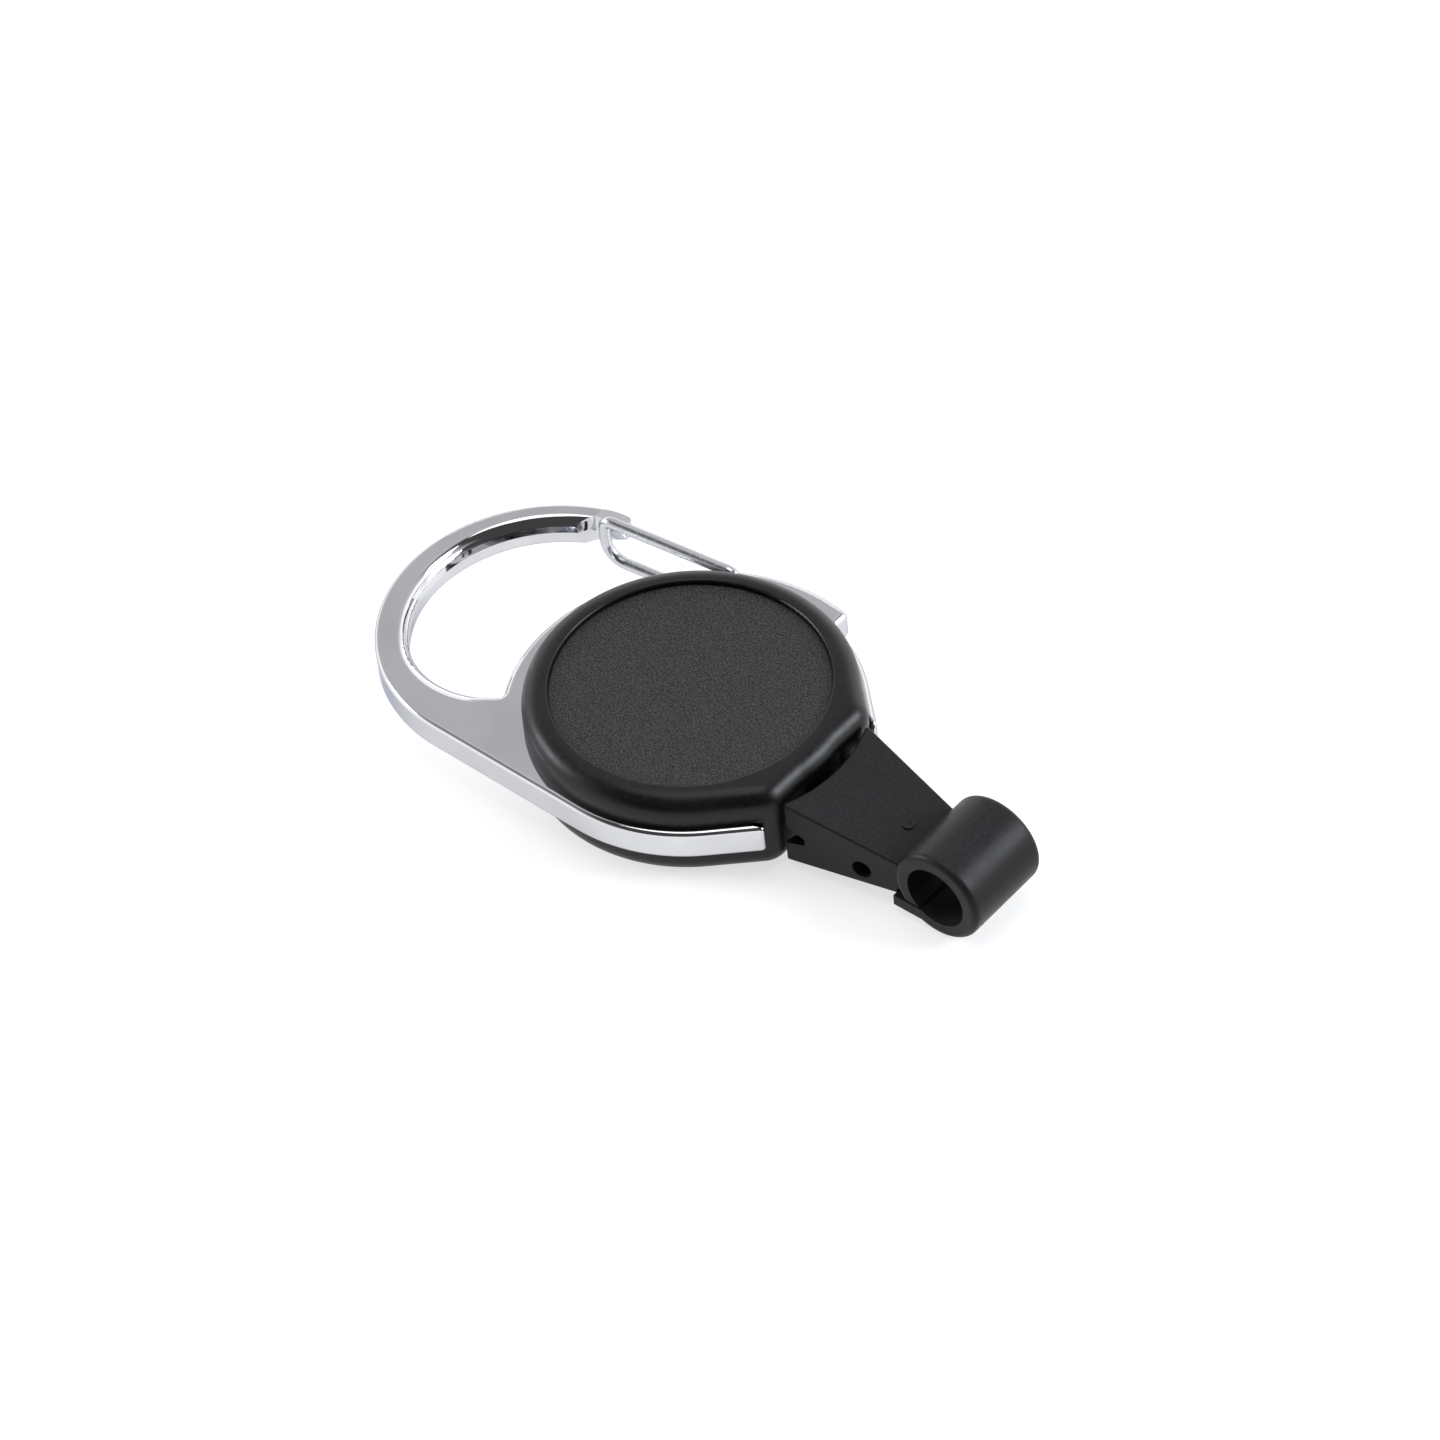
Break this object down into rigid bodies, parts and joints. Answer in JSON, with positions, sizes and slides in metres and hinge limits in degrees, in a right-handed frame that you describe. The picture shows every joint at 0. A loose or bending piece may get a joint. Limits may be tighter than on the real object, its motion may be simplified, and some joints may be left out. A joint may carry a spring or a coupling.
{
  "type": "retractable badge reel",
  "caption": "Retractable badge reel: round black case in a chrome carabiner frame with a sprung wire gate, and a black clamp fitting on its cord",
  "frame": {"origin": "spool axis at the rear cover's outer face", "axes": "+X from the hook towards the clamp fitting, along which the cord is pulled out; +Z out of the front cover; the wire gate is on the +Y side"},
  "size_m": [0.0807, 0.0396, 0.0108],
  "materials": {
    "black_moulding": "fine-textured black moulding",
    "fitting_moulding": "matte black moulding",
    "chrome": "bright chrome plate on a die casting",
    "gate_wire": "bright plated spring wire",
    "brass": "turned",
    "steel": "turned and plated",
    "spring_steel": "blued strip",
    "washer_plastic": "natural nylon",
    "spool_plastic": "natural acetal",
    "cord_nylon": "braided black nylon cord"
  },
  "bodies": {
    "case": {"front_cover": "black_moulding", "rear_cover": "black_moulding", "carabiner_frame": "chrome", "cord_eyelet": "black_moulding", "cover_screws": "steel", "axle_post": "steel", "retaining_clip": "spring_steel", "rear_washer": "washer_plastic", "front_washer": "washer_plastic", "spiral_spring": "spring_steel"},
    "gate": {"wire_gate": "gate_wire"},
    "spool": {"spool_drum": "spool_plastic", "drum_bush": "brass", "spool_lid": "spool_plastic", "lid_screws": "steel", "spring_anchor": "steel", "cord_winding": "cord_nylon", "anchor_knot": "cord_nylon"},
    "fitting": {"clamp_fitting": "fitting_moulding", "cord_lead": "cord_nylon", "end_knot": "cord_nylon"}
  },
  "joints": [
    {"name": "gate_hinge", "type": "hinge", "parent": "case", "child": "gate", "pos_m": [-0.008, 0.01725, 0.0054], "axis": [0, 0, 1], "range_deg": [0, 25], "stiffness_Nm_per_rad": 0.057, "springref_deg": -5.73},
    {"name": "fitting_pull", "type": "slide", "parent": "case", "child": "fitting", "axis": [1, 0, 0], "range_m": [0, 0.7], "stiffness_N_per_m": 1.4, "springref_m": -0.43, "deforming": ["cord_lead"]},
    {"name": "spool_spin", "type": "hinge", "parent": "case", "child": "spool", "pos_m": [0, 0, 0.0054], "axis": [0, 0, 1], "range_deg": [-3720, 0]}
  ],
  "couplings": [
    {"joint": "spool_spin", "follows": "fitting_pull", "rad_per_m": -92.6}
  ]
}
